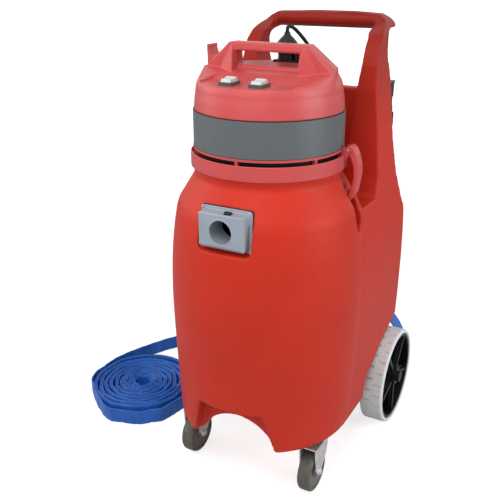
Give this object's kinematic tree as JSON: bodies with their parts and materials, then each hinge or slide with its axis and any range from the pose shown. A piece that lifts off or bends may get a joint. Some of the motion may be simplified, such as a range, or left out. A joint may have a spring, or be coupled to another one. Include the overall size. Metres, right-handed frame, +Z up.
{
  "type": "pump-out tank vacuum",
  "caption": "Wet and dry tank vacuum with a lift-off motor head, latches, push handle, casters, rear wheels and a lay-flat pump-out hose.",
  "frame": {"origin": "on the floor, midway across the machine and midway from the barrel's front to the backs of the rear wheels", "axes": "+Z up, -Y towards the front with the hose inlet, +X towards the right side as seen from the front with +Z up"},
  "size_m": [0.8494, 0.7178, 1.057],
  "materials": {
    "tank_red": "moulded polyethylene, fine texture",
    "head_red": "moulded polyethylene, satin",
    "band_grey": "satin moulded ABS",
    "inlet_grey": "satin moulded ABS",
    "black_plastic": "moulded polypropylene",
    "black_rubber": "flexible PVC and rubber",
    "zinc_steel": "bright zinc plate",
    "black_steel": "black painted pressed steel",
    "tyre_grey": "grey non-marking tyre",
    "caster_rubber": "dark grey non-marking rubber",
    "caster_hub_grey": "moulded nylon",
    "rocker_grey": "glossy rocker",
    "motor_metal": "die-cast aluminium",
    "cage_plastic": "natural polypropylene",
    "pump_blue_grey": "enamelled cast housing",
    "hose_blue": "lay-flat PVC over woven cloth"
  },
  "bodies": {
    "tank_body": {"tank": "tank_red", "inlet_housing": "inlet_grey", "inlet_gasket": "black_rubber", "inlet_deflector": "black_plastic", "inlet_screws": "zinc_steel", "rear_axle": "zinc_steel", "axle_cap_left": "black_plastic", "axle_cap_right": "black_plastic", "caster_plate_left": "black_steel", "caster_plate_right": "black_steel", "cord_cleat": "black_plastic", "pump_housing": "pump_blue_grey", "pump_strainer": "black_plastic", "riser_pipe": "cage_plastic", "outlet_fitting": "black_plastic", "hose_coupling": "motor_metal", "discharge_hose": "hose_blue", "discharge_roll": "hose_blue"},
    "head": {"head_base": "head_red", "intake_screen": "black_plastic", "head_gasket": "black_rubber", "band": "band_grey", "dome": "head_red", "switch_bezels": "black_plastic", "cord_hook": "head_red", "receptacle": "black_plastic", "plug": "black_plastic", "lead_gland": "black_rubber", "power_lead": "black_rubber", "motor_housing": "motor_metal", "motor_gasket": "black_rubber", "float_cage": "cage_plastic", "latch_pins": "zinc_steel"},
    "motor_rotor": {"motor_rotor": "motor_metal"},
    "float_ball": {"float_ball": "cage_plastic"},
    "rocker_left": {"rocker_left": "rocker_grey"},
    "rocker_right": {"rocker_right": "rocker_grey"},
    "latch_left": {"latch_left": "head_red"},
    "latch_right": {"latch_right": "head_red"},
    "inlet_slide": {"inlet_slide": "black_plastic"},
    "pump_impeller": {"pump_impeller": "pump_blue_grey"},
    "rear_wheel_left": {"rear_hub_left": "black_plastic", "rear_tyre_left": "tyre_grey"},
    "rear_wheel_right": {"rear_hub_right": "black_plastic", "rear_tyre_right": "tyre_grey"},
    "caster_left": {"caster_fork_left": "zinc_steel", "caster_bolt_left": "zinc_steel"},
    "caster_right": {"caster_fork_right": "zinc_steel", "caster_bolt_right": "zinc_steel"},
    "caster_wheel_left": {"caster_wheel_left": "caster_hub_grey", "caster_tread_left": "caster_rubber"},
    "caster_wheel_right": {"caster_wheel_right": "caster_hub_grey", "caster_tread_right": "caster_rubber"}
  },
  "joints": [
    {"name": "head_lift", "type": "slide", "parent": "tank_body", "child": "head", "axis": [0, 0, 1], "range_m": [0, 0.26]},
    {"name": "latch_left_swing", "type": "hinge", "parent": "head", "child": "latch_left", "pos_m": [-0.176, -0.07, 0.8], "axis": [0, 1, 0], "range_deg": [0, 70]},
    {"name": "rocker_left_tilt", "type": "hinge", "parent": "head", "child": "rocker_left", "pos_m": [-0.038, -0.206, 0.9355], "axis": [-1, 0, 0], "range_deg": [0, 14]},
    {"name": "rear_wheel_left_roll", "type": "hinge", "parent": "tank_body", "child": "rear_wheel_left", "pos_m": [-0.213, 0.196, 0.127], "axis": [1, 0, 0], "continuous": true},
    {"name": "caster_left_swivel", "type": "hinge", "parent": "tank_body", "child": "caster_left", "pos_m": [-0.159, -0.153, 0.125], "axis": [0, 0, 1], "continuous": true},
    {"name": "caster_wheel_left_roll", "type": "hinge", "parent": "caster_left", "child": "caster_wheel_left", "pos_m": [-0.159, -0.179, 0.0508], "axis": [1, 0, 0], "continuous": true},
    {"name": "latch_right_swing", "type": "hinge", "parent": "head", "child": "latch_right", "pos_m": [0.176, -0.07, 0.8], "axis": [0, -1, 0], "range_deg": [0, 70]},
    {"name": "rocker_right_tilt", "type": "hinge", "parent": "head", "child": "rocker_right", "pos_m": [0.03, -0.206, 0.9355], "axis": [-1, 0, 0], "range_deg": [0, 14]},
    {"name": "rear_wheel_right_roll", "type": "hinge", "parent": "tank_body", "child": "rear_wheel_right", "pos_m": [0.213, 0.196, 0.127], "axis": [1, 0, 0], "continuous": true},
    {"name": "caster_right_swivel", "type": "hinge", "parent": "tank_body", "child": "caster_right", "pos_m": [0.159, -0.153, 0.125], "axis": [0, 0, 1], "continuous": true},
    {"name": "caster_wheel_right_roll", "type": "hinge", "parent": "caster_right", "child": "caster_wheel_right", "pos_m": [0.159, -0.179, 0.0508], "axis": [1, 0, 0], "continuous": true},
    {"name": "motor_spin", "type": "hinge", "parent": "head", "child": "motor_rotor", "pos_m": [0, -0.103, 0.85], "axis": [0, 0, 1], "continuous": true},
    {"name": "float_rise", "type": "slide", "parent": "head", "child": "float_ball", "axis": [0, 0, 1], "range_m": [0, 0.05]},
    {"name": "inlet_slide_travel", "type": "slide", "parent": "tank_body", "child": "inlet_slide", "axis": [0, 1, 0], "range_m": [0, 0.006]},
    {"name": "pump_spin", "type": "hinge", "parent": "tank_body", "child": "pump_impeller", "pos_m": [-0.01, -0.033, 0.2], "axis": [0, 0, 1], "continuous": true}
  ]
}
